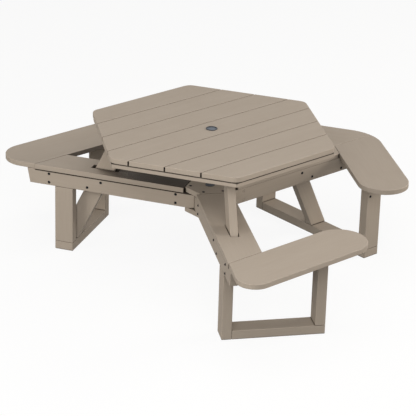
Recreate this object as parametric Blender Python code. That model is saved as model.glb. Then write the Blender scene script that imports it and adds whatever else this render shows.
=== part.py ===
"""Hexagonal picnic table of recycled-plastic lumber, open on one side for a wheelchair.

Seven boards make the six-sided top.  Three arms leave a hub under its middle and carry the
seats; the side of the table towards -X has no seat, so a wheelchair can roll in there.

World frame: metres, +Z up, ground at Z = 0, X along the boards of the top, and the origin
under the middle of the whole table's bounding box.
Arm frame: u runs outwards along the arm, v to its left, z up.
Seat frame: d runs outwards across the plank, t along it to the left of d.
"""

import bpy
import bmesh
from collections import namedtuple
from math import atan2, ceil, cos, hypot, pi, radians, sin, tan
from mathutils import Matrix, Vector

# Lumber sections and fits
BOARD_THICKNESS = 0.0254
STOCK_THICKNESS = 0.038
EDGE_RADIUS = 0.0025
FIT = 0.0003

# Heights of the two levels that people use
TABLE_HEIGHT = 0.735
SEAT_HEIGHT = 0.442

# Table top
TOP_BOARD_COUNT = 7
TOP_BOARD_WIDTH = 0.150
TOP_BOARD_GAP = 0.004
TOP_CORNER_RADIUS = 0.050
RIM_INSET = 0.006
RIM_WIDTH = 0.095
BEARER_HEIGHT = 0.060
BEARER_INNER_END = 0.100

# Arms: a deck board on two rails, with an inner rail bolted inside each
DECK_WIDTH = 0.175
DECK_OVERHANG = 0.003
DECK_HUB_GAP = 0.003
DECK_SEAT_GAP = 0.001
RAIL_HEIGHT = 0.077
RAIL_UNDER_SEAT = 0.088
RAIL_END_SLANT = 0.015
INNER_RAIL_HUB_END = 0.080
INNER_RAIL_UNDER_SEAT = 0.006

# Slanting struts that carry the top
STRUT_LEVEL_WIDTH = 0.0975
STRUT_AT_SEAT_LEVEL = 0.544
SLOT_INNER_ROOM = 0.024
SLOT_OUTER_ROOM = 0.010
SLOT_SIDE_ROOM = 0.003

# Hub plates: a triangle with its corners cut off
HUB_CORNER_DISTANCE = 0.125
HUB_CORNER_SPREAD = 34.5
HUB_CORNER_RADIUS = 0.006

# Seats
SEAT_WIDTH = 0.254
SEAT_INNER_DISTANCE = 0.731
SEAT_TIP_LENGTH = 0.178
SEAT_A_CORNER_RADIUS = 0.085
SEAT_B_CORNER_RADIUS = 0.125
SEAT_MITRE_RADIUS = 0.220
SEAT_MITRE_GAP = 0.001

# Leg frames: two posts and a skid, set back from the seats' inner edges
LEG_SETBACK = 0.156
POST_DEPTH = 0.095
POST_THICKNESS = 0.048
SKID_HEIGHT = 0.044
FAR_POST_OUTER_FACE = 0.405

# Bolts cross the arm at the strut; every fastener's head lies in a recess
BOLT_SHANK_RADIUS = 0.004
BOLT_HOLE_ROOM = 0.0005
HEAD_RADIUS = 0.0062
HEAD_HEIGHT = 0.0035
HEAD_DOME = ((1.0, 0.3), (0.8, 0.75), (0.4, 1.0))
RECESS_RADIUS = 0.0072
RECESS_DEPTH = 0.0045
STRUT_BOLT_STAGGER = 0.0265
STRUT_BOLT_RISE = 0.0185
HUB_PAIR_PLACE = 0.147
END_PAIR_SETBACK = 0.029
PAIR_EDGE_DISTANCE = 0.016
POST_BOLT_DROP = 0.019
SCREW_CIRCLE_RADIUS = 0.096

# Umbrella hole and the caps that close it
POLE_HOLE_RADIUS = 0.0190
CAP_FIT = 0.0008
CAP_SKIRT_WALL = 0.0025
CAP_SKIRT_DEPTH = 0.012
CAP_DISC_THICKNESS = 0.003
CAP_RIM_WIDTH = 0.0045
CAP_RIM_RISE = 0.0015
TOP_CAP_RADIUS = 0.0280
HUB_CAP_RADIUS = 0.0225

# How finely round shapes are divided
ARC_STEP = radians(10)
HOLE_SIDES = 36
BOLT_SIDES = 12

LUMBER = dict(colour=(0.398, 0.342, 0.287, 1), roughness=0.62, metallic=0.0)
BLACK_STEEL = dict(colour=(0.020, 0.022, 0.028, 1), roughness=0.42, metallic=0.9)
DARK_PLASTIC = dict(colour=(0.075, 0.085, 0.100, 1), roughness=0.45, metallic=0.0)

# open_side is the sign of v on the side where the wheelchair comes in, ground_side that of
# the post that runs down to the ground past the end of the skid
Arm = namedtuple("Arm", "letter angle open_side ground_side braced seat_turns sides")
ARMS = (
    Arm("a", 240, -1, -1, False, (30,), {-1: "open", 1: "closed"}),
    Arm("b", 120, 1, -1, True, (-30,), {1: "open", -1: "closed"}),
    Arm("c", 0, 0, 1, True, (30, -30), {1: "left", -1: "right"}),
)

# Levels that follow from the sizes above
BOARD_LEVEL = TABLE_HEIGHT - BOARD_THICKNESS
RIM_TOP = BOARD_LEVEL - FIT
DECK_LEVEL = SEAT_HEIGHT - BOARD_THICKNESS
RAIL_TOP = DECK_LEVEL - FIT
RAIL_BOTTOM = RAIL_TOP - RAIL_HEIGHT
LOWER_HUB_TOP = RAIL_BOTTOM - FIT

# Places across the arm
RAIL_OUTER = DECK_WIDTH / 2 - DECK_OVERHANG
RAIL_INNER = RAIL_OUTER - STOCK_THICKNESS
STRUT_SIDE = STOCK_THICKNESS / 2

# Table top in plan
TOP_APOTHEM = (TOP_BOARD_COUNT * (TOP_BOARD_WIDTH + TOP_BOARD_GAP) - TOP_BOARD_GAP) / 2
TOP_CORNER_REACH = TOP_APOTHEM / cos(radians(30))
RIM_OUTER = TOP_APOTHEM - RIM_INSET
RIM_INNER = RIM_OUTER - RIM_WIDTH

# Where the seats' inner edges cross the axis of an arm, and what is set out from there
SEAT_LINE = SEAT_INNER_DISTANCE / cos(radians(30))
SEAT_OUTER_DISTANCE = SEAT_INNER_DISTANCE + SEAT_WIDTH
RAIL_TOP_END = SEAT_LINE + RAIL_UNDER_SEAT
INNER_RAIL_SEAT_END = SEAT_LINE + INNER_RAIL_UNDER_SEAT
END_PAIR_PLACE = SEAT_LINE - END_PAIR_SETBACK
LEG_INNER_FACE = SEAT_LINE - LEG_SETBACK
LEG_OUTER_FACE = LEG_INNER_FACE + POST_DEPTH

# The brace's inner edge meets the inner face of the leg frame on top of the skid
STRUT_SLOPE = (LEG_INNER_FACE + STRUT_LEVEL_WIDTH / 2 - STRUT_AT_SEAT_LEVEL) / (
    SEAT_HEIGHT - SKID_HEIGHT)


def clear_scene():
    for obj in list(bpy.data.objects):
        bpy.data.objects.remove(obj, do_unlink=True)


# Plan geometry

def polar(radius, degrees):
    return radius * cos(radians(degrees)), radius * sin(radians(degrees))


def turned_point(forward, left, degrees):
    """Plan point given in a frame that is turned about the table's middle."""
    c, s = cos(radians(degrees)), sin(radians(degrees))
    return forward * c - left * s, forward * s + left * c


def rectangle(u_min, u_max, v_min, v_max):
    return [(u_min, v_min), (u_max, v_min), (u_max, v_max), (u_min, v_max)]


def clip(outline, degrees, distance):
    """Keep the part of an outline that lies within a distance of the middle, that way."""
    nx, ny = polar(1, degrees)
    heights = [x * nx + y * ny - distance for x, y in outline]
    kept = []
    for i, (x, y) in enumerate(outline):
        j = (i + 1) % len(outline)
        if heights[i] <= 0:
            kept.append((x, y))
        if (heights[i] < 0) != (heights[j] < 0) and heights[i] != heights[j]:
            share = heights[i] / (heights[i] - heights[j])
            crossing = (x + share * (outline[j][0] - x), y + share * (outline[j][1] - y))
            kept.append(crossing)
    return without_repeats(kept)


def without_repeats(points, nearest=1e-6):
    result = []
    for point in points:
        if not result or hypot(point[0] - result[-1][0], point[1] - result[-1][1]) > nearest:
            result.append(point)
    if hypot(result[0][0] - result[-1][0], result[0][1] - result[-1][1]) <= nearest:
        result.pop()
    return result


def arc(centre, radius, start, sweep):
    steps = max(1, ceil(abs(sweep) / ARC_STEP - 1e-6))
    return [
        (centre[0] + radius * cos(start + sweep * i / steps),
         centre[1] + radius * sin(start + sweep * i / steps))
        for i in range(steps + 1)
    ]


def rounded(corners, radii):
    """Anticlockwise outline with each convex corner turned into an arc of its own radius."""
    points = []
    for i, radius in enumerate(radii):
        corner = Vector(corners[i])
        before = (Vector(corners[i - 1]) - corner).normalized()
        after = (Vector(corners[(i + 1) % len(corners)]) - corner).normalized()
        if radius == 0:
            points.append(tuple(corner))
            continue
        half_angle = before.angle(after) / 2
        centre = corner + (before + after).normalized() * (radius / sin(half_angle))
        start = atan2(before.x, -before.y)
        points += arc(centre, radius, start, pi - 2 * half_angle)
    return without_repeats(points)


# Solids

def finish(obj, look):
    """Give one piece a material of its own."""
    material = bpy.data.materials.new(obj.name)
    material.use_nodes = True
    shader = material.node_tree.nodes["Principled BSDF"]
    shader.inputs["Base Color"].default_value = look["colour"]
    shader.inputs["Roughness"].default_value = look["roughness"]
    shader.inputs["Metallic"].default_value = look["metallic"]
    material.diffuse_color = look["colour"]
    obj.data.materials.append(material)


def add_object(name, bm, parent, location=(0, 0, 0)):
    bmesh.ops.recalc_face_normals(bm, faces=bm.faces)
    mesh = bpy.data.meshes.new(name)
    bm.to_mesh(mesh)
    bm.free()
    obj = bpy.data.objects.new(name, mesh)
    obj.parent = parent
    obj.location = location
    bpy.context.scene.collection.objects.link(obj)
    return obj


def loft(bm, lower, upper, z_low, z_high):
    """Closed solid between two outlines that have the same number of points."""
    low = [bm.verts.new((x, y, z_low)) for x, y in lower]
    high = [bm.verts.new((x, y, z_high)) for x, y in upper]
    bm.faces.new(low[::-1])
    bm.faces.new(high)
    for i in range(len(low)):
        j = (i + 1) % len(low)
        bm.faces.new((low[i], low[j], high[j], high[i]))


def spin(bm, profile, sides, matrix=Matrix()):
    """Closed solid of revolution; the profile of (radius, height) starts and ends on the axis."""
    rings = []
    for radius, height in profile:
        if radius == 0:
            rings.append([bm.verts.new(matrix @ Vector((0, 0, height)))])
            continue
        angles = [2 * pi * i / sides for i in range(sides)]
        ring = [(radius * cos(a), radius * sin(a), height) for a in angles]
        rings.append([bm.verts.new(matrix @ Vector(point)) for point in ring])
    for below, above in zip(rings, rings[1:]):
        for i in range(sides):
            j = (i + 1) % sides
            if len(below) == 1:
                bm.faces.new((below[0], above[i], above[j]))
            elif len(above) == 1:
                bm.faces.new((below[i], below[j], above[0]))
            else:
                bm.faces.new((below[i], below[j], above[j], above[i]))


def subtract(obj, cutter):
    modifier = obj.modifiers.new(cutter.name, "BOOLEAN")
    modifier.operation = "DIFFERENCE"
    modifier.solver = "EXACT"
    modifier.object = cutter


def ease(obj):
    """Take the sharpness off a lumber edge, as the mould or router leaves it."""
    modifier = obj.modifiers.new("eased_edges", "BEVEL")
    modifier.width = EDGE_RADIUS
    modifier.segments = 2
    modifier.limit_method = "ANGLE"
    modifier.angle_limit = radians(30)


def lumber(name, parent, lower, z_low, z_high, upper=None, slot=None, holes=()):
    """Eased piece of lumber over a plan outline, with its origin in the middle of it."""
    upper = upper or lower
    xs = [x for x, _ in lower + upper]
    ys = [y for _, y in lower + upper]
    middle = ((min(xs) + max(xs)) / 2, (min(ys) + max(ys)) / 2, (z_low + z_high) / 2)
    bm = bmesh.new()
    loft(bm, lower, upper, z_low, z_high)
    bmesh.ops.translate(bm, verts=bm.verts, vec=-Vector(middle))
    obj = add_object(name, bm, parent, middle)
    if slot:
        subtract(obj, slot)
    ease(obj)
    for cutter in holes:
        subtract(obj, cutter)
    finish(obj, LUMBER)
    return obj


def as_cutter(obj):
    obj.hide_render = True
    obj.display_type = "WIRE"
    return obj


def empty(name, parent=None, location=(0, 0, 0), degrees=0):
    obj = bpy.data.objects.new(name, None)
    obj.parent = parent
    obj.location = location
    obj.rotation_euler.z = radians(degrees)
    bpy.context.scene.collection.objects.link(obj)
    return obj


# Seats in plan

def seat_outline(normal, arm_side, corner_radius=None):
    """Plan outline of a seat plank.

    normal is the way that the plank faces outwards and arm_side the side of it, as the sign
    of t, where its arm lies.  A plank with a corner radius ends flush with the far rail of
    its arm, and one without is mitred on its arm's axis.  The other end is a half round.
    """
    mitred = corner_radius is None
    near_line = -SEAT_MITRE_GAP / 2 if mitred else RAIL_OUTER
    tip = -arm_side * SEAT_TIP_LENGTH

    def end(d):
        return arm_side * (d * tan(radians(30)) + near_line / cos(radians(30)))

    inner, outer = SEAT_INNER_DISTANCE, SEAT_OUTER_DISTANCE
    corners = [(inner, end(inner)), (outer, end(outer)), (outer, tip), (inner, tip)]
    radii = [0, corner_radius or 0, SEAT_WIDTH / 2, SEAT_WIDTH / 2]
    if arm_side > 0:
        corners.reverse()
        radii.reverse()
    outline = rounded(corners, radii)
    if mitred:
        outline = round_mitre(outline, arm_side)
    return [turned_point(d, t, normal) for d, t in outline]


def round_mitre(outline, arm_side):
    """Round the corner that two mitred planks share, about a centre on the arm's axis."""
    centre_d = SEAT_OUTER_DISTANCE - SEAT_MITRE_RADIUS
    centre_t = arm_side * centre_d * tan(radians(30))
    steps = ceil(radians(30) / ARC_STEP)
    for i in range(steps):
        middle = arm_side * 30 * (i + 0.5) / steps
        reach = centre_d * cos(radians(middle)) + centre_t * sin(radians(middle))
        outline = clip(outline, middle, reach + SEAT_MITRE_RADIUS)
    return outline


SEATS = (
    ("seat_a", seat_outline(270, -1, SEAT_A_CORNER_RADIUS)),
    ("seat_b", seat_outline(90, 1, SEAT_B_CORNER_RADIUS)),
    ("seat_c_right", seat_outline(330, 1)),
    ("seat_c_left", seat_outline(30, -1)),
)
ALL_SEAT_X = [x for _, outline in SEATS for x, _ in outline]
MIDDLE_X = (min(ALL_SEAT_X) + max(ALL_SEAT_X)) / 2


def strut_centre(z):
    return STRUT_AT_SEAT_LEVEL + (SEAT_HEIGHT - z) * STRUT_SLOPE


# Fasteners

def strut_bolt_places():
    """(u, z) of the two staggered bolts through a strut."""
    middle = (RAIL_BOTTOM + RAIL_TOP) / 2
    upper, lower = middle + STRUT_BOLT_RISE, middle - STRUT_BOLT_RISE
    return (
        ("upper", strut_centre(upper) - STRUT_BOLT_STAGGER, upper),
        ("lower", strut_centre(lower) + STRUT_BOLT_STAGGER, lower),
    )


def rail_recess_places():
    """(u, z) of the bolts that hold an inner rail to its outer rail."""
    low, high = RAIL_BOTTOM + PAIR_EDGE_DISTANCE, RAIL_TOP - PAIR_EDGE_DISTANCE
    return [(u, z) for u in (HUB_PAIR_PLACE, END_PAIR_PLACE) for z in (low, high)]


def far_post_sides(arm):
    return [side for side in (-1, 1) if side != arm.open_side]


def across(u, z):
    """Turns an axis that points up into one that points along v, through (u, z)."""
    return Matrix.Translation((u, 0, z)) @ Matrix.Rotation(-pi / 2, 4, "X")


def recess(bm, matrix):
    """Blind round recess that opens upwards at the height 0 of its own frame."""
    rod = [(0, -RECESS_DEPTH), (RECESS_RADIUS, -RECESS_DEPTH), (RECESS_RADIUS, RECESS_DEPTH),
           (0, RECESS_DEPTH)]
    spin(bm, rod, BOLT_SIDES, matrix)


def facing(u, z, v, side):
    """Frame whose height 0 lies on the face at v and whose axis points to that side."""
    return Matrix.Translation((u, v, z)) @ Matrix.Rotation(-side * pi / 2, 4, "X")


def build_bolt_holes(arm, parent):
    """One cutter for the bolt holes and the recesses of an arm."""
    bm = bmesh.new()
    shank = BOLT_SHANK_RADIUS + BOLT_HOLE_ROOM
    step, end = RAIL_OUTER - RECESS_DEPTH, RAIL_OUTER + RECESS_DEPTH
    stepped = [(RECESS_RADIUS, end), (RECESS_RADIUS, step), (shank, step)]
    rod = [(0, -end)] + [(r, -h) for r, h in stepped] + stepped[::-1] + [(0, end)]
    for _, u, z in strut_bolt_places():
        spin(bm, rod, BOLT_SIDES, across(u, z))
    for side in (-1, 1):
        for u, z in rail_recess_places():
            recess(bm, facing(u, z, side * RAIL_OUTER, side))
    for side in far_post_sides(arm):
        u = (LEG_INNER_FACE + LEG_OUTER_FACE) / 2
        z = DECK_LEVEL - POST_BOLT_DROP
        recess(bm, facing(u, z, side * FAR_POST_OUTER_FACE, side))
    return as_cutter(add_object("bolt_holes_" + arm.letter, bm, parent))


def build_strut_bolts(arm, parent):
    """Through bolts with a domed head at one end and a domed nut at the other."""
    seat = RAIL_OUTER - RECESS_DEPTH + FIT
    dome = [(r * HEAD_RADIUS, seat + h * HEAD_HEIGHT) for r, h in HEAD_DOME]
    head = [(BOLT_SHANK_RADIUS, seat), (HEAD_RADIUS, seat)] + dome + [(0, seat + HEAD_HEIGHT)]
    profile = [(r, -h) for r, h in head[::-1]] + head
    for level, u, z in strut_bolt_places():
        bm = bmesh.new()
        spin(bm, profile, BOLT_SIDES)
        obj = add_object("strut_bolt_%s_%s" % (arm.letter, level), bm, parent, (u, 0, z))
        obj.rotation_euler.x = -pi / 2
        smooth_round_faces(obj)
        finish(obj, BLACK_STEEL)


def smooth_round_faces(obj):
    for face in obj.data.polygons:
        face.use_smooth = True
    obj.data.set_sharp_from_angle(angle=radians(35))


# Table top

def build_top(table, hole):
    corners = [polar(TOP_CORNER_REACH, 60 * i) for i in range(6)]
    hexagon = rounded(corners, [TOP_CORNER_RADIUS] * 6)
    pitch = TOP_BOARD_WIDTH + TOP_BOARD_GAP
    for i in range(TOP_BOARD_COUNT):
        low_y = -TOP_APOTHEM + i * pitch
        strip = clip(clip(hexagon, 270, -low_y), 90, low_y + TOP_BOARD_WIDTH)
        middle_board = i == TOP_BOARD_COUNT // 2
        lumber("top_board_%d" % (i + 1), table, strip, BOARD_LEVEL, TABLE_HEIGHT,
               holes=[hole] if middle_board else ())


def build_rim(table):
    """Six mitred boards under the edge of the top."""
    for i in range(6):
        frame = empty("rim_side_%d" % (i + 1), table, degrees=30 + 60 * i)
        strip = rectangle(RIM_INNER, RIM_OUTER, -RIM_OUTER, RIM_OUTER)
        strip = clip(strip, 120, -FIT / 2)
        strip = clip(strip, 240, -FIT / 2)
        lumber("top_rim_%d" % (i + 1), frame, strip, RIM_TOP - BOARD_THICKNESS, RIM_TOP)


def build_bearer(arm, parent):
    """Bearer under the boards that the strut stands against."""
    side = -1 if arm.open_side > 0 else 1
    near, far = STRUT_SIDE + FIT, STRUT_SIDE + FIT + STOCK_THICKNESS
    outer_end = (RIM_INNER - FIT - far * sin(radians(30))) / cos(radians(30))
    v_min, v_max = sorted((side * near, side * far))
    bar = rectangle(BEARER_INNER_END, outer_end, v_min, v_max)
    lumber("top_bearer_" + arm.letter, parent, bar, RIM_TOP - BEARER_HEIGHT, RIM_TOP)


# Hub

def hub_outline():
    corners = []
    for arm_angle in (0, 120, 240):
        for spread in (-HUB_CORNER_SPREAD, HUB_CORNER_SPREAD):
            corners.append(polar(HUB_CORNER_DISTANCE, arm_angle + spread))
    return rounded(corners, [HUB_CORNER_RADIUS] * 6)


HUB_FACE = HUB_CORNER_DISTANCE * cos(radians(HUB_CORNER_SPREAD))


def build_hub(table, pole_hole):
    bm = bmesh.new()
    for i in range(6):
        x, y = polar(SCREW_CIRCLE_RADIUS, 30 + 60 * i)
        recess(bm, Matrix.Translation((x, y, SEAT_HEIGHT)))
    screw_recesses = as_cutter(add_object("screw_recesses", bm, table))
    lumber("hub_plate_upper", table, hub_outline(), DECK_LEVEL, SEAT_HEIGHT,
           holes=[pole_hole, screw_recesses])
    lumber("hub_plate_lower", table, hub_outline(), LOWER_HUB_TOP - BOARD_THICKNESS, LOWER_HUB_TOP,
           holes=[pole_hole])


def build_pole_hole(table):
    rod = [(0, 0), (POLE_HOLE_RADIUS, 0), (POLE_HOLE_RADIUS, 2 * TABLE_HEIGHT), (0, 2 * TABLE_HEIGHT)]
    bm = bmesh.new()
    spin(bm, rod, HOLE_SIDES)
    return as_cutter(add_object("pole_hole", bm, table))


def build_cap(name, table, radius, level):
    """Cap that closes a pole hole: a dished disc with a raised rim on a thin skirt."""
    skirt = POLE_HOLE_RADIUS - CAP_FIT
    bore = skirt - CAP_SKIRT_WALL
    face = CAP_DISC_THICKNESS
    lip = face + CAP_RIM_RISE
    bevel = CAP_RIM_RISE
    profile = [
        (0, 0), (bore, 0), (bore, -CAP_SKIRT_DEPTH), (skirt, -CAP_SKIRT_DEPTH), (skirt, 0),
        (radius, 0), (radius, face), (radius - bevel, lip), (radius - CAP_RIM_WIDTH, lip),
        (radius - CAP_RIM_WIDTH - bevel, face), (0, face),
    ]
    bm = bmesh.new()
    spin(bm, profile, HOLE_SIDES)
    obj = add_object(name, bm, table, (0, 0, level + FIT))
    smooth_round_faces(obj)
    finish(obj, DARK_PLASTIC)


# Arms

def build_deck(arm, parent):
    board = rectangle(HUB_FACE + DECK_HUB_GAP, 2 * SEAT_INNER_DISTANCE, -DECK_WIDTH / 2, DECK_WIDTH / 2)
    for seat_turn in arm.seat_turns:
        board = clip(board, seat_turn, SEAT_INNER_DISTANCE - DECK_SEAT_GAP)
    half = STRUT_LEVEL_WIDTH / 2
    slot_inner = strut_centre(SEAT_HEIGHT) - half - SLOT_INNER_ROOM
    slot_outer = strut_centre(DECK_LEVEL) + half + SLOT_OUTER_ROOM
    side = STRUT_SIDE + SLOT_SIDE_ROOM
    opening = rectangle(slot_inner, slot_outer, -side, side)
    bm = bmesh.new()
    loft(bm, opening, opening, DECK_LEVEL - BOARD_THICKNESS, SEAT_HEIGHT + BOARD_THICKNESS)
    slot = as_cutter(add_object("strut_slot_" + arm.letter, bm, parent))
    lumber("deck_" + arm.letter, parent, board, DECK_LEVEL, SEAT_HEIGHT, slot=slot)


def rail_outline(side, outer_end):
    """Plan of a rail: its inner end is mitred against the next arm's rail."""
    def inner_end(v):
        return (v + FIT) / tan(radians(60))

    points = [
        (inner_end(RAIL_INNER), side * RAIL_INNER), (outer_end, side * RAIL_INNER),
        (outer_end, side * RAIL_OUTER), (inner_end(RAIL_OUTER), side * RAIL_OUTER),
    ]
    return points if side > 0 else points[::-1]


def build_rails(arm, parent, holes):
    for side in (-1, 1):
        place = "%s_%s" % (arm.letter, arm.sides[side])
        lower = rail_outline(side, RAIL_TOP_END - RAIL_END_SLANT)
        upper = rail_outline(side, RAIL_TOP_END)
        lumber("rail_" + place, parent, lower, RAIL_BOTTOM, RAIL_TOP, upper=upper, holes=[holes])
        v_min, v_max = sorted((side * (STRUT_SIDE + FIT), side * (RAIL_INNER - FIT)))
        inner = rectangle(INNER_RAIL_HUB_END, INNER_RAIL_SEAT_END, v_min, v_max)
        lumber("inner_rail_" + place, parent, inner, RAIL_BOTTOM, RAIL_TOP, holes=[holes])


def strut_section(z):
    half = STRUT_LEVEL_WIDTH / 2
    return rectangle(strut_centre(z) - half, strut_centre(z) + half, -STRUT_SIDE, STRUT_SIDE)


def build_strut(arm, parent, holes):
    """Slanting plank from the boards of the top down to the skid, or to the rails' lower edge."""
    foot = SKID_HEIGHT + FIT if arm.braced else RAIL_BOTTOM
    lumber("strut_" + arm.letter, parent, strut_section(foot), foot, RIM_TOP,
           upper=strut_section(RIM_TOP), holes=[holes])


def build_leg_frame(arm, parent, holes):
    outer_faces = {}
    for side in (-1, 1):
        is_open = side == arm.open_side
        outer_faces[side] = RAIL_OUTER if is_open else FAR_POST_OUTER_FACE
        top = RAIL_BOTTOM - FIT if is_open else DECK_LEVEL - FIT
        on_ground = side == arm.ground_side
        v_min, v_max = sorted((side * outer_faces[side], side * (outer_faces[side] - POST_THICKNESS)))
        post = rectangle(LEG_INNER_FACE, LEG_OUTER_FACE, v_min, v_max)
        name = "post_%s_%s" % (arm.letter, arm.sides[side])
        lumber(name, parent, post, 0 if on_ground else SKID_HEIGHT + FIT, top,
               holes=() if is_open else [holes])
    ground, other = arm.ground_side, -arm.ground_side
    butt = ground * (outer_faces[ground] - POST_THICKNESS - FIT)
    v_min, v_max = sorted((butt, other * outer_faces[other]))
    skid = rectangle(LEG_INNER_FACE, LEG_OUTER_FACE, v_min, v_max)
    lumber("skid_" + arm.letter, parent, skid, 0, SKID_HEIGHT)


def build_arm(arm, table):
    parent = empty("arm_" + arm.letter, table, degrees=arm.angle)
    holes = build_bolt_holes(arm, parent)
    build_deck(arm, parent)
    build_rails(arm, parent, holes)
    build_strut(arm, parent, holes)
    build_bearer(arm, parent)
    build_leg_frame(arm, parent, holes)
    build_strut_bolts(arm, parent)


def main():
    clear_scene()
    table = empty("table_middle", location=(-MIDDLE_X, 0, 0))
    pole_hole = build_pole_hole(table)
    build_top(table, pole_hole)
    build_rim(table)
    build_hub(table, pole_hole)
    for arm in ARMS:
        build_arm(arm, table)
    for name, outline in SEATS:
        lumber(name, table, outline, DECK_LEVEL, SEAT_HEIGHT)
    build_cap("cap_top", table, TOP_CAP_RADIUS, TABLE_HEIGHT)
    build_cap("cap_hub", table, HUB_CAP_RADIUS, SEAT_HEIGHT)
    bpy.context.view_layer.update()


main()
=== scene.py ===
"""Looks of the hexagonal picnic table: lumber, fasteners, caps, light and camera.

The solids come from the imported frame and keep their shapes.  Here they get lumber with a
brushed grain, and the bolt heads, plugs and umbrella caps that the solids leave room for.
Lengths are in metres.  Arm frame: u runs outwards along the arm, v to its left, z up.
"""

from math import atan2, cos, pi, radians, sin

import bmesh
import bpy
from mathutils import Euler, Matrix, Vector


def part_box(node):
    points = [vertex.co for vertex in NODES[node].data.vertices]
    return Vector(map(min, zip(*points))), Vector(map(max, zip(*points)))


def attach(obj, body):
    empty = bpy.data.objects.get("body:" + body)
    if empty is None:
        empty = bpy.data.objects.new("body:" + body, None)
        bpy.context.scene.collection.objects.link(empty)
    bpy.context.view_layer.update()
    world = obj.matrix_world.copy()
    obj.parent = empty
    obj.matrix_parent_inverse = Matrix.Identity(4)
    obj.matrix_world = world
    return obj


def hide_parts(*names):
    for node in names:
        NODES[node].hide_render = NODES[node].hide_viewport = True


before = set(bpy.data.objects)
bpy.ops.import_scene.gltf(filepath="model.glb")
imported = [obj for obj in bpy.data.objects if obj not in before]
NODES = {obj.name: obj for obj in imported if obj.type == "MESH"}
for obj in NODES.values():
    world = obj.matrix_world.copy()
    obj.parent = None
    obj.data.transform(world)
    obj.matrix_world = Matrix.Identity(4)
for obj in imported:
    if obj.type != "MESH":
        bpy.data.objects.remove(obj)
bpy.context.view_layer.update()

# Where the table's middle stands, and the sizes that other pieces are set out from
MIDDLE = Vector((-0.25005, 0, 0))
TABLE_HEIGHT = 0.735
SEAT_HEIGHT = 0.442
BOARD = 0.0254
TOP_PITCH = 0.154
TOP_GAPS = 6
RAIL_BOTTOM = 0.3393
RAIL_TOP = 0.4163
RAIL_OUTER = 0.0845
DECK_LENGTH = 0.893
FAR_POST_OUTER = 0.405
LEG_INNER = 0.6881
LEG_OUTER = 0.7831
STRUT_SLOPE = 0.485

# Arms: letter, angle in degrees, and the sign of v on the side where the wheelchair comes in
ARMS = (("a", 240, -1), ("b", 120, 1), ("c", 0, 0))
ARM_ANGLES = {letter: angle for letter, angle, _ in ARMS}

# Fasteners; a head's size is its radius and height
RECESS_DEPTH = 0.0045
CONTACT = 0.0003
BOLT_HEAD = (0.0069, 0.0082)
PLUG_RADIUS = 0.0070
HUB_PAIR_PLACE = 0.147
END_PAIR_PLACE = 0.8151
PAIR_EDGE_DISTANCE = 0.016
POST_BOLT_DROP = 0.019
LOW_POST_HEAD = (0.0066, 0.0034)
LOW_POST_BOLT_INSET = 0.019
LOW_POST_BOLT_LEVEL = 0.334
LOW_POST_BOLT_CONTACT = 0.0005
HUB_SCREW_HEAD = (0.0078, 0.0026)
HUB_SCREW_STEM = 0.0038
HUB_SCREW_CIRCLE = 0.096
FASTENER_SIDES = 24
FASTENER_CREASE = 40

# Outlines of the fasteners: (share of the radius, share of the height); the first two rings
# of the socket are hexagons
SHANK_SHARE = 0.5
HEAD_SHAPE = ((1, 0), (1, 0.25), (0.93, 0.52), (0.78, 0.80), (0.60, 0.97), (0.4704, 1))
SOCKET_SHAPE = ((0.42, 0.95), (0.42, 0.35), (0, 0.35))
PLUG_SHAPE = ((0, 0), (0.94, 0), (1, 0.30), (1, 0.80), (0.90, 0.97), (0.5, 1.03), (0, 1.05))

# Umbrella caps, set out from the boxes of the solids that they replace
CAP_SEAT_BELOW_TOP = 0.0045
CAP_WEB = 0.0010
SKIRT_RADIUS = 0.0182
SKIRT_WALL = 0.0025
SKIRT_HOLLOW = 0.0105
DISC_INSET = 0.0035
DISC_BELOW_SEAT = 0.0009
CAP_SIDES = 72
CAP_CREASE = 30

# Outlines of the caps: (distance inwards from the edge, rise), but the disc's face has
# (share of its radius, rise)
RIM_SECTION = (
    (0.0006, 0), (0, 0.0006), (0, 0.0016), (0.0005, 0.0026), (0.0012, 0.0030),
    (0.0024, 0.0030), (0.0030, 0.0024), (0.0034, -CAP_WEB),
)
DISC_EDGE = ((0, 0), (0, 0.0005), (0.0006, 0.0009))
DISC_FACE = (
    (0.80, 0.0010), (0.76, 0.0004), (0.70, 0.0004), (0.66, 0.0010), (0.42, 0.0015),
    (0.28, 0.0017), (0.25, 0.0024), (0.20, 0.0026), (0, 0.0026),
)

# Tones of the lumber; the last two are painted shade, and the last is also dirt in the joints
LUMBER = (0.400, 0.343, 0.286)
LUMBER_LIGHT = (0.452, 0.396, 0.338)
LUMBER_DARK = (0.335, 0.283, 0.231)
PAINTED_SHADE = (0.032, 0.025, 0.019)
SHADE_AND_GRIME = (0.016, 0.012, 0.009)

# Tones of the steel, and of the cap plastics as (colour, scuffed colour, roughness)
STEEL_DARK = (0.004, 0.005, 0.007)
STEEL = (0.012, 0.013, 0.017)
STEEL_WORN = (0.16, 0.17, 0.19)
CAP_RIM_PLASTIC = ((0.010, 0.012, 0.016), (0.028, 0.031, 0.038), 0.50)
CAP_DISC_PLASTIC = ((0.085, 0.100, 0.125), (0.200, 0.225, 0.260), 0.46)
HUB_CAP_PLASTIC = ((0.060, 0.070, 0.088), (0.110, 0.122, 0.140), 0.50)

# Grain: how often the noise repeats in a metre along the board and across it
BROAD_GRAIN = (2.2, 16)
STREAKS = (5, 120)
FINE_GRAIN = (26, 620)
PATCHES = 5.5

# Where painted shade, painted highlight and dirt fall on the lumber; a painted shadow line of
# WHOLE_LENGTH doesn't end before its board does
EDGE_SOFTENING_RADIUS = 0.0018
PAINTED_SHADE_REACH = 0.50
JOINT_REACH = 0.012
OVERHANG_LINE = 0.0062
OVERHANG_BLUR = 0.0012
OVERHANG_END_BLUR = 0.004
WHOLE_LENGTH = 2.0
GAP_END_SHADE = 0.0031
GAP_END_BLUR = 0.0007
EASED_EDGE = 0.0022
EASED_EDGE_BLUR = 0.0020

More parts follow.
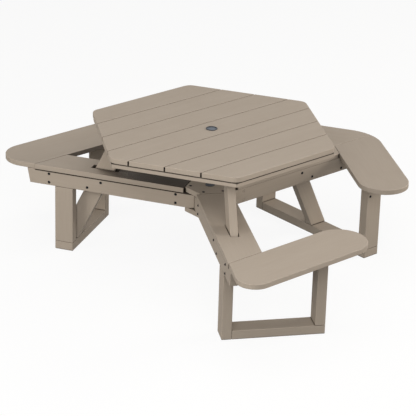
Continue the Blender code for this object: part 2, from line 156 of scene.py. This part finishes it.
# Lamps: name, place, diameter, power in watts, colour; all of them point at one place
LAMP_TARGET = (0, 0, 0.45)
LAMPS = (
    ("key", (-3.86, -3.86, 3.60), 5.0, 208, (1.0, 0.985, 0.965)),
    ("low_front", (-3.08, -5.34, 1.76), 3.2, 48, (1.0, 0.955, 0.88)),
    ("left", (-5.88, 1.58, 2.08), 3.4, 158, (1.0, 0.955, 0.89)),
    ("right", (5.16, -2.98, 2.50), 3.4, 270, (1.0, 0.94, 0.86)),
    ("overhead", (0, 0, 6.75), 6.0, 140, (1.0, 0.995, 0.99)),
)
ROOM_LIGHT = (1.0, 0.985, 0.955)
ROOM_STRENGTH = 0.10
WHITE = (1.0, 1.0, 1.0)

# Floor: half its width, its level, the colour that lights the table from below, the colour
# that is seen, and the share of plain white in what is seen
FLOOR_HALF = 30
FLOOR_LEVEL = -0.0004
FLOOR_BOUNCE = (0.08, 0.078, 0.075)
FLOOR_SEEN = (0.88, 0.88, 0.88)
FLOOR_WHITE = 0.90

# Camera at the photograph's angle; the turn is in degrees, the lens in millimetres
CAMERA_PLACE = (-6.18975, -6.71542, 4.23799)
CAMERA_TURN = (66.3770, -1.5271, -40.7832)
LENS = 173.08
SENSOR = 36
FAR_CLIP = 200


# Node trees

class Graph:
    """Short way to write the node tree of a material or a world."""

    def __init__(self, owner):
        owner.use_nodes = True
        self.owner = owner
        self.nodes = owner.node_tree.nodes
        self.links = owner.node_tree.links

    def add(self, kind, inputs=None, **settings):
        node = self.nodes.new("ShaderNode" + kind)
        for key, value in settings.items():
            setattr(node, key, value)
        for key, value in (inputs or {}).items():
            self.put(node.inputs[key], value)
        return node

    def put(self, socket, value):
        if isinstance(value, bpy.types.NodeSocket):
            self.links.new(value, socket)
        elif isinstance(value, tuple) and socket.type == "RGBA":
            socket.default_value = (*value, 1)
        else:
            socket.default_value = value

    def surface(self, **inputs):
        """Set the Principled shader's inputs, an underscore standing for a space."""
        shader = self.nodes["Principled BSDF"]
        for key, value in inputs.items():
            self.put(shader.inputs[key.replace("_", " ")], value)
        return shader.outputs[0]

    def maths(self, operation, first, second=0.0):
        return self.add("Math", {0: first, 1: second}, operation=operation).outputs[0]

    def product(self, *factors):
        result = factors[0]
        for factor in factors[1:]:
            result = self.maths("MULTIPLY", result, factor)
        return result

    def most(self, *values):
        result = values[0]
        for value in values[1:]:
            result = self.maths("MAXIMUM", result, value)
        return result

    def dot(self, first, second):
        node = self.add("VectorMath", {0: first, 1: second}, operation="DOT_PRODUCT")
        return node.outputs["Value"]

    def ramp(self, value, low, high, bottom=0.0, top=1.0):
        node = self.add("MapRange", {"Value": value, "From Min": low, "From Max": high,
                                     "To Min": bottom, "To Max": top})
        return node.outputs[0]

    def mix(self, factor, first, second):
        return self.add("MixRGB", {0: factor, 1: first, 2: second}).outputs[0]

    def noise(self, vector, scale, detail, roughness=0.55):
        node = self.add("TexNoise", {"Vector": vector, "Scale": scale, "Detail": detail,
                                     "Roughness": roughness})
        return node.outputs["Fac"]

    def grain(self, vector, scales, detail, roughness=0.55):
        """Noise drawn out along X, with scales of (along, across)."""
        along, across = scales
        stretched = self.add("VectorMath", {0: vector, 1: (along, across, across)},
                             operation="MULTIPLY").outputs[0]
        return self.noise(stretched, 1.0, detail, roughness)

    def openness(self, reach, samples):
        """Share of the surroundings, within a reach, that a point is open to."""
        return self.add("AmbientOcclusion", {"Distance": reach}, samples=samples).outputs["AO"]

    def bump(self, height, distance, strength, normal=None):
        inputs = {"Height": height, "Distance": distance, "Strength": strength}
        if normal is not None:
            inputs["Normal"] = normal
        return self.add("Bump", inputs).outputs[0]

    def place(self):
        """Object coordinates, which are the table's own metres on all that stands still."""
        return self.add("TexCoord").outputs["Object"]

    def edges(self, radius, samples):
        """Softened normal, true normal, and their likeness, which falls off at the edges."""
        soft = self.add("Bevel", {"Radius": radius}, samples=samples).outputs[0]
        true = self.add("NewGeometry").outputs["Normal"]
        return soft, true, self.dot(soft, true)

    def seen(self):
        """1 for rays by which the picture, gloss or glass shows a thing, and 0 for light."""
        rays = self.add("LightPath").outputs
        return self.most(rays["Is Camera Ray"], rays["Is Glossy Ray"],
                         rays["Is Transmission Ray"])


def new_material(name):
    return Graph(bpy.data.materials.new(name))


def direction(degrees):
    return (cos(radians(degrees)), sin(radians(degrees)), 0)


# Lumber

def overhang_dirt(g, place, level, share, angle, reach):
    """Painted shadow line under a board at this level, as far out along the angle as the
    reach.
    """
    height = g.add("SeparateXYZ", {0: place}).outputs["Z"]
    lowest = level - OVERHANG_LINE
    line = g.ramp(height, lowest - OVERHANG_BLUR, lowest, 0.0, share)
    outwards = direction(angle)
    limit = reach + MIDDLE.x * outwards[0]
    within = g.ramp(g.dot(place, outwards), limit, limit - OVERHANG_END_BLUR)
    return g.product(line, within)


def gap_end_dirt(g, place):
    """Painted shade beside the open ends of the top's gaps, below the boards' eased edges."""
    parts = g.add("SeparateXYZ", {0: place}).outputs
    half = TOP_PITCH / 2
    from_gap = g.maths("PINGPONG", g.maths("SUBTRACT", parts["Y"], half), half)
    beside = g.ramp(from_gap, GAP_END_SHADE + GAP_END_BLUR, GAP_END_SHADE)
    eased = TABLE_HEIGHT - EASED_EDGE
    below = g.ramp(parts["Z"], eased, eased - EASED_EDGE_BLUR)
    # Only as far as the outer boards' middles, for the top's long edges are no gaps
    middle = TOP_GAPS / 2 * TOP_PITCH
    within = g.ramp(g.maths("ABSOLUTE", parts["Y"]), middle + 0.1 * TOP_PITCH, middle)
    return g.product(beside, below, within)


def lumber_material(name, turn, offset, shelter_shade=0.35, dirt=0.92, shade=None, overhang=None):
    """Moulded plastic lumber with a brushed grain along the local X of the given turn.

    The keyword shares are the most painted shade on faces that the table closes in, and the
    most that joints darken by dirt and painted shade.  shade is an angle and the share of
    painted shade on the faces that look that way.  overhang is what the painted shadow line
    under a board takes.
    """
    g = new_material("lumber_" + name)
    place = g.place()
    along = g.add("Mapping", {"Vector": place, "Location": offset, "Rotation": turn},
                  vector_type="TEXTURE").outputs[0]
    soft, true, likeness = g.edges(EDGE_SOFTENING_RADIUS, 6)

    broad = g.grain(along, BROAD_GRAIN, 3.0)
    streaks = g.grain(along, STREAKS, 5.0, 0.62)
    fine = g.grain(along, FINE_GRAIN, 3.0)
    patches = g.noise(along, PATCHES, 4.0)

    colour = g.mix(g.ramp(streaks, 0.32, 0.68), LUMBER_DARK, LUMBER)
    colour = g.mix(0.66, colour, LUMBER)
    colour = g.mix(g.product(g.ramp(broad, 0.42, 0.70), 0.16), colour, LUMBER_LIGHT)
    colour = g.mix(g.product(g.ramp(patches, 0.52, 0.78), 0.10), colour, LUMBER_DARK)

    # Edges are lighter: a little polish from handling, and a painted highlight
    worn = g.product(g.ramp(likeness, 0.995, 0.90), g.ramp(patches, 0.30, 0.62, 0.10, 0.40))
    colour = g.mix(worn, colour, LUMBER_LIGHT)

    # Painted shade darkens the faces that the table closes in, by a share that differs per
    # piece
    openness = g.openness(PAINTED_SHADE_REACH, 16)
    colour = g.mix(g.ramp(openness, 0.57, 0.37, 0.0, shelter_shade), colour, PAINTED_SHADE)
    # Painted shade on the faces that look towards the given angle
    if shade:
        angle, share = shade
        turned_there = g.dot(true, direction(angle))
        colour = g.mix(g.ramp(turned_there, 0.80, 0.95, 0.0, share), colour, PAINTED_SHADE)

    # Painted shade, with some dirt, darkens the joints; painted shadow lines go under
    # overhangs and at the open ends of the top's gaps
    dirty = g.ramp(g.openness(JOINT_REACH, 12), 0.82, 0.44, 0.0, dirt)
    if overhang:
        dirty = g.most(dirty, overhang_dirt(g, place, *overhang))
    if name.startswith("top_board"):
        dirty = g.most(dirty, gap_end_dirt(g, place))
    colour = g.mix(dirty, colour, SHADE_AND_GRIME)

    roughness = g.maths("ADD", g.ramp(streaks, 0.25, 0.75, 0.60, 0.74),
                        g.ramp(patches, 0.3, 0.7, -0.04, 0.05))
    normal = g.bump(broad, 0.0012, 0.35, soft)
    normal = g.bump(streaks, 0.0005, 0.55, normal)
    normal = g.bump(fine, 0.00016, 0.6, normal)
    g.surface(Base_Color=colour, Roughness=roughness, IOR=1.47, Specular_IOR_Level=0.22,
              Normal=normal)
    return g.owner


def grain_turn(node):
    """Rotation that lays the local X axis along the board of a node, in radians."""
    words = node.split("_")
    letter = words[2] if node.startswith(("inner_rail", "top_bearer")) else words[1]
    arm = radians(ARM_ANGLES.get(letter, 0))
    if node.startswith("top_rim"):
        return (0, 0, radians(60 + 60 * int(words[2])))
    if node.startswith("seat_c"):
        return (0, 0, radians(120 if node.endswith("left") else 60))
    if node.startswith(("seat", "top_board", "hub")):
        return (0, 0, 0)
    if node.startswith("skid"):
        return (0, 0, arm + pi / 2)
    if node.startswith(("post", "strut")):
        lean = pi / 2 if node.startswith("post") else atan2(1.0, -STRUT_SLOPE)
        turned = Matrix.Rotation(arm, 3, "Z") @ Matrix.Rotation(-lean, 3, "Y")
        return tuple(turned.to_euler())
    return (0, 0, arm)


def painted_shade_shares(node):
    """How much painted shade, dirt and painted shadow lines darken a piece of lumber, as far
    as the photograph tells.
    """
    shade_shares = dict(shelter_shade=0.30)
    if node.startswith(("post", "skid", "strut")) or node in ("deck_a", "hub_plate_upper"):
        shade_shares["shelter_shade"] = 0.0
    elif node == "deck_b":
        shade_shares["shelter_shade"] = 0.90
    elif node == "deck_c" or node.startswith("inner_rail"):
        shade_shares["shelter_shade"] = 0.60

    if node.startswith("top_board"):
        shade_shares["dirt"] = 0.60
    elif node.startswith("seat_c"):
        shade_shares["dirt"] = 0.30

    # Painted shade on seat b's inner edge; painted shadow lines under the decks and the top
    # boards
    if node == "seat_b":
        shade_shares["shade"] = (270, 0.78)
    if node.startswith("rail_a"):
        shade_shares["overhang"] = (RAIL_TOP, 0.40, ARM_ANGLES["a"], DECK_LENGTH)
    elif node.startswith("rail_b"):
        shade_shares["overhang"] = (RAIL_TOP, 0.96, ARM_ANGLES["b"], DECK_LENGTH)
    elif node.startswith("top_rim"):
        shade_shares["overhang"] = (TABLE_HEIGHT - BOARD, 0.92, 0, WHOLE_LENGTH)
    return shade_shares


def paint(obj, material):
    obj.data.materials.clear()
    obj.data.materials.append(material)


def dress_lumber():
    for i, name in enumerate(sorted(NODES)):
        if not name.startswith(("cap", "strut_bolt")):
            offset = (0.731 * i, 0.413 * i + 0.1, 0.279 * i)
            paint(NODES[name], lumber_material(name, grain_turn(name), offset, **painted_shade_shares(name)))


# Steel and moulded plastic

def steel_material():
    """Black coated steel, worn to grey on its high spots."""
    g = new_material("black_steel")
    blotches = g.noise(g.place(), 420.0, 4.0)
    soft, _, likeness = g.edges(0.0006, 4)
    colour = g.mix(g.ramp(blotches, 0.45, 0.70), STEEL_DARK, STEEL)
    worn = g.product(g.ramp(likeness, 0.99, 0.86), 0.18)
    g.surface(Base_Color=g.mix(worn, colour, STEEL_WORN),
              Roughness=g.ramp(blotches, 0.3, 0.7, 0.34, 0.52), Specular_IOR_Level=0.15,
              Normal=g.bump(blotches, 0.0002, 0.4, soft))
    return g.owner


def cap_material(name, plastic):
    """Moulded plastic of the umbrella caps, with a fine grain and scuffs."""
    colour, scuffed, roughness = plastic
    g = new_material(name)
    place = g.place()
    grain = g.noise(place, 1400.0, 3.0)
    scuffs = g.grain(place, (160, 60), 5.0, 0.65)
    share = g.product(g.ramp(scuffs, 0.50, 0.72), 0.55)
    g.surface(Base_Color=g.mix(share, colour, scuffed),
              Roughness=g.ramp(scuffs, 0.3, 0.7, roughness - 0.07, roughness + 0.1),
              Normal=g.bump(scuffs, 0.0003, 0.25, g.bump(grain, 0.0002, 0.5)))
    return g.owner


# Turned pieces

def spun(bm, profile, sides, matrix, hexagonal=()):
    """Closed solid of revolution; the rings listed in hexagonal follow a hexagon instead."""
    rings = []
    for k, (radius, height) in enumerate(profile):
        if radius == 0:
            rings.append([bm.verts.new(matrix @ Vector((0, 0, height)))])
            continue
        ring = []
        for i in range(sides):
            a = 2 * pi * i / sides
            r = radius
            if k in hexagonal:
                r = radius * cos(pi / 6) / cos((a % (pi / 3)) - pi / 6)
            ring.append(bm.verts.new(matrix @ Vector((r * cos(a), r * sin(a), height))))
        rings.append(ring)
    for below, above in zip(rings, rings[1:]):
        for i in range(sides):
            j = (i + 1) % sides
            if len(below) == 1:
                bm.faces.new((below[0], above[i], above[j]))
            elif len(above) == 1:
                bm.faces.new((below[i], below[j], above[0]))
            else:
                bm.faces.new((below[i], below[j], above[j], above[i]))


def new_piece(name, bm, material, body, crease):
    """Piece that rides on a body; edges sharper than the crease, in degrees, stay sharp."""
    bmesh.ops.recalc_face_normals(bm, faces=bm.faces)
    mesh = bpy.data.meshes.new(name)
    bm.to_mesh(mesh)
    bm.free()
    for face in mesh.polygons:
        face.use_smooth = True
    mesh.set_sharp_from_angle(angle=radians(crease))
    mesh.materials.append(material)
    obj = bpy.data.objects.new(name, mesh)
    bpy.context.scene.collection.objects.link(obj)
    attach(obj, body)
    return obj


# Fasteners

def button_head(bm, matrix, size, stem=0.0):
    """Domed bolt head with a hexagonal socket; height 0 is its seat."""
    radius, height = size
    shank = SHANK_SHARE * radius
    profile = [(0, -stem), (shank, -stem), (shank, 0)] if stem else [(0, 0)]
    profile += [(r * radius, h * height) for r, h in HEAD_SHAPE + SOCKET_SHAPE]
    socket_rings = (len(profile) - 3, len(profile) - 2)
    spun(bm, profile, FASTENER_SIDES, matrix, socket_rings)


def plug(bm, matrix):
    """Flush plug over a sunk bolt, with a softly domed face."""
    profile = [(r * PLUG_RADIUS, h * RECESS_DEPTH) for r, h in PLUG_SHAPE]
    spun(bm, profile, FASTENER_SIDES, matrix)


def on_side(angle, u, z, distance, side):
    """Frame on a face this far from an arm's axis, with its Z axis pointing to that side."""
    arm = Matrix.Translation(MIDDLE) @ Matrix.Rotation(radians(angle), 4, "Z")
    to_side = Matrix.Rotation(-side * pi / 2, 4, "X")
    return arm @ Matrix.Translation((u, side * distance, z)) @ to_side


def strut_bolt_places(letter, angle):
    """(u, z) of the two bolts through an arm's strut."""
    places = []
    for level in ("upper", "lower"):
        low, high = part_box("strut_bolt_%s_%s" % (letter, level))
        centre = (low + high) / 2
        places.append(((centre - MIDDLE).dot(Vector(direction(angle))), centre.z))
    return places


def build_rail_fasteners(steel, plug_material):
    """Heads in the rails' recesses, and plugs in those where the photograph shows no bolt."""
    bolts, plugs = bmesh.new(), bmesh.new()
    distance = RAIL_OUTER - RECESS_DEPTH + CONTACT
    levels = (RAIL_BOTTOM + PAIR_EDGE_DISTANCE, RAIL_TOP - PAIR_EDGE_DISTANCE)
    hub_pair = [(HUB_PAIR_PLACE, z) for z in levels]
    end_pair = [(END_PAIR_PLACE, z) for z in levels]
    for letter, angle, open_side in ARMS:
        bolt_places = strut_bolt_places(letter, angle) + end_pair
        for side in (-1, 1):
            for u, z in bolt_places:
                button_head(bolts, on_side(angle, u, z, distance, side), BOLT_HEAD)
            for u, z in hub_pair:
                seat = on_side(angle, u, z, distance, side)
                if side == open_side:
                    button_head(bolts, seat, BOLT_HEAD)
                else:
                    plug(plugs, seat)
    new_piece("rail_bolt_heads", bolts, steel, "table", FASTENER_CREASE)
    new_piece("rail_plugs", plugs, plug_material, "table", FASTENER_CREASE)


def build_post_bolts(steel):
    """One recessed and one low head on the outer face of each far post."""
    bm = bmesh.new()
    recess = FAR_POST_OUTER - RECESS_DEPTH + CONTACT
    face = FAR_POST_OUTER - LOW_POST_BOLT_CONTACT
    level = SEAT_HEIGHT - BOARD - POST_BOLT_DROP
    middle = (LEG_INNER + LEG_OUTER) / 2
    inset = LEG_INNER + LOW_POST_BOLT_INSET
    for _, angle, open_side in ARMS:
        for side in (-1, 1):
            if side != open_side:
                seat = on_side(angle, middle, level, recess, side)
                button_head(bm, seat, BOLT_HEAD)
                seat = on_side(angle, inset, LOW_POST_BOLT_LEVEL, face, side)
                button_head(bm, seat, LOW_POST_HEAD)
    new_piece("post_bolt_heads", bm, steel, "table", FASTENER_CREASE)


def build_hub_screws(steel):
    bm = bmesh.new()
    for k in range(6):
        out = HUB_SCREW_CIRCLE * Vector(direction(30 + 60 * k))
        place = Matrix.Translation(MIDDLE + out + Vector((0, 0, SEAT_HEIGHT - CONTACT)))
        button_head(bm, place, HUB_SCREW_HEAD, HUB_SCREW_STEM)
    new_piece("hub_screws", bm, steel, "table", FASTENER_CREASE)


# Umbrella caps

def build_cap(name, node, body, rim_material, disc_material):
    """Moulded cap: a raised rim on a skirt round a dished disc with a groove and a boss."""
    low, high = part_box(node)
    centre = (low + high) / 2
    at = Matrix.Translation((centre.x, centre.y, 0))
    radius = (high.x - low.x) / 2
    seat = high.z - CAP_SEAT_BELOW_TOP
    hollow = low.z + SKIRT_HOLLOW
    inner = SKIRT_RADIUS - SKIRT_WALL

    bm = bmesh.new()
    profile = [(0, hollow), (inner, hollow), (inner, low.z), (SKIRT_RADIUS, low.z),
               (SKIRT_RADIUS, seat)]
    profile += [(radius - inwards, seat + rise) for inwards, rise in RIM_SECTION]
    profile += [(0, seat - CAP_WEB)]
    spun(bm, profile, CAP_SIDES, at)
    outer = new_piece(name + "_rim", bm, rim_material, body, CAP_CREASE)
    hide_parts(node)

    bm = bmesh.new()
    edge = radius - DISC_INSET
    base = seat - DISC_BELOW_SEAT
    profile = [(0, base)]
    profile += [(edge - inwards, base + rise) for inwards, rise in DISC_EDGE]
    profile += [(share * edge, base + rise) for share, rise in DISC_FACE]
    spun(bm, profile, CAP_SIDES, at)
    new_piece(name + "_disc", bm, disc_material, body, CAP_CREASE)


def build_caps():
    rim = cap_material("cap_rim_plastic", CAP_RIM_PLASTIC)
    disc = cap_material("cap_disc_plastic", CAP_DISC_PLASTIC)
    dark = cap_material("hub_cap_plastic", HUB_CAP_PLASTIC)
    build_cap("umbrella_cap_top", "cap_top", "top_cap", rim, disc)
    build_cap("umbrella_cap_hub", "cap_hub", "hub_cap", dark, dark)


# Stage, light and camera

def build_stage():
    g = new_material("pale_floor")
    seen = g.seen()
    surface = g.surface(Base_Color=g.mix(seen, FLOOR_BOUNCE, FLOOR_SEEN), Roughness=0.9)
    white = g.add("Emission", {"Color": WHITE, "Strength": 1.0}).outputs[0]
    blend = g.add("MixShader", {0: g.product(seen, FLOOR_WHITE), 1: surface, 2: white})
    g.put(g.nodes["Material Output"].inputs["Surface"], blend.outputs[0])

    bm = bmesh.new()
    bmesh.ops.create_grid(bm, x_segments=1, y_segments=1, size=FLOOR_HALF)
    mesh = bpy.data.meshes.new("floor")
    bm.to_mesh(mesh)
    bm.free()
    mesh.materials.append(g.owner)
    floor = bpy.data.objects.new("floor", mesh)
    floor.location.z = FLOOR_LEVEL
    bpy.context.scene.collection.objects.link(floor)


def build_world():
    """Faint room light, and plain white where the picture or gloss shows the room itself."""
    world = bpy.data.worlds.new("studio")
    bpy.context.scene.world = world
    g = Graph(world)
    light = g.nodes["Background"]
    g.put(light.inputs["Color"], ROOM_LIGHT)
    g.put(light.inputs["Strength"], ROOM_STRENGTH)
    shown = g.add("Background", {"Color": WHITE, "Strength": 1.0})
    blend = g.add("MixShader", {0: g.seen(), 1: light.outputs[0], 2: shown.outputs[0]})
    g.put(g.nodes["World Output"].inputs["Surface"], blend.outputs[0])


def build_lights():
    for name, place, diameter, power, colour in LAMPS:
        data = bpy.data.lights.new(name, "AREA")
        data.shape = "DISK"
        data.size = diameter
        data.energy = power
        data.color = colour
        lamp = bpy.data.objects.new(name, data)
        lamp.location = place
        aim = Vector(LAMP_TARGET) - Vector(place)
        lamp.rotation_euler = aim.to_track_quat("-Z", "Y").to_euler()
        bpy.context.scene.collection.objects.link(lamp)


def build_camera():
    data = bpy.data.cameras.new("camera")
    data.lens = LENS
    data.sensor_width = SENSOR
    data.clip_end = FAR_CLIP
    camera = bpy.data.objects.new("camera", data)
    camera.location = CAMERA_PLACE
    camera.rotation_euler = Euler([radians(a) for a in CAMERA_TURN])
    bpy.context.scene.collection.objects.link(camera)
    bpy.context.scene.camera = camera


def main():
    dress_lumber()
    steel = steel_material()
    for name, node in NODES.items():
        if name.startswith("strut_bolt"):
            paint(node, steel)
    build_rail_fasteners(steel, lumber_material("plugs", (0, 0, 0), (9.1, 3.7, 5.3)))
    build_post_bolts(steel)
    build_hub_screws(steel)
    build_caps()
    build_stage()
    build_world()
    build_lights()
    build_camera()
    bpy.context.scene.view_settings.view_transform = "Standard"


main()
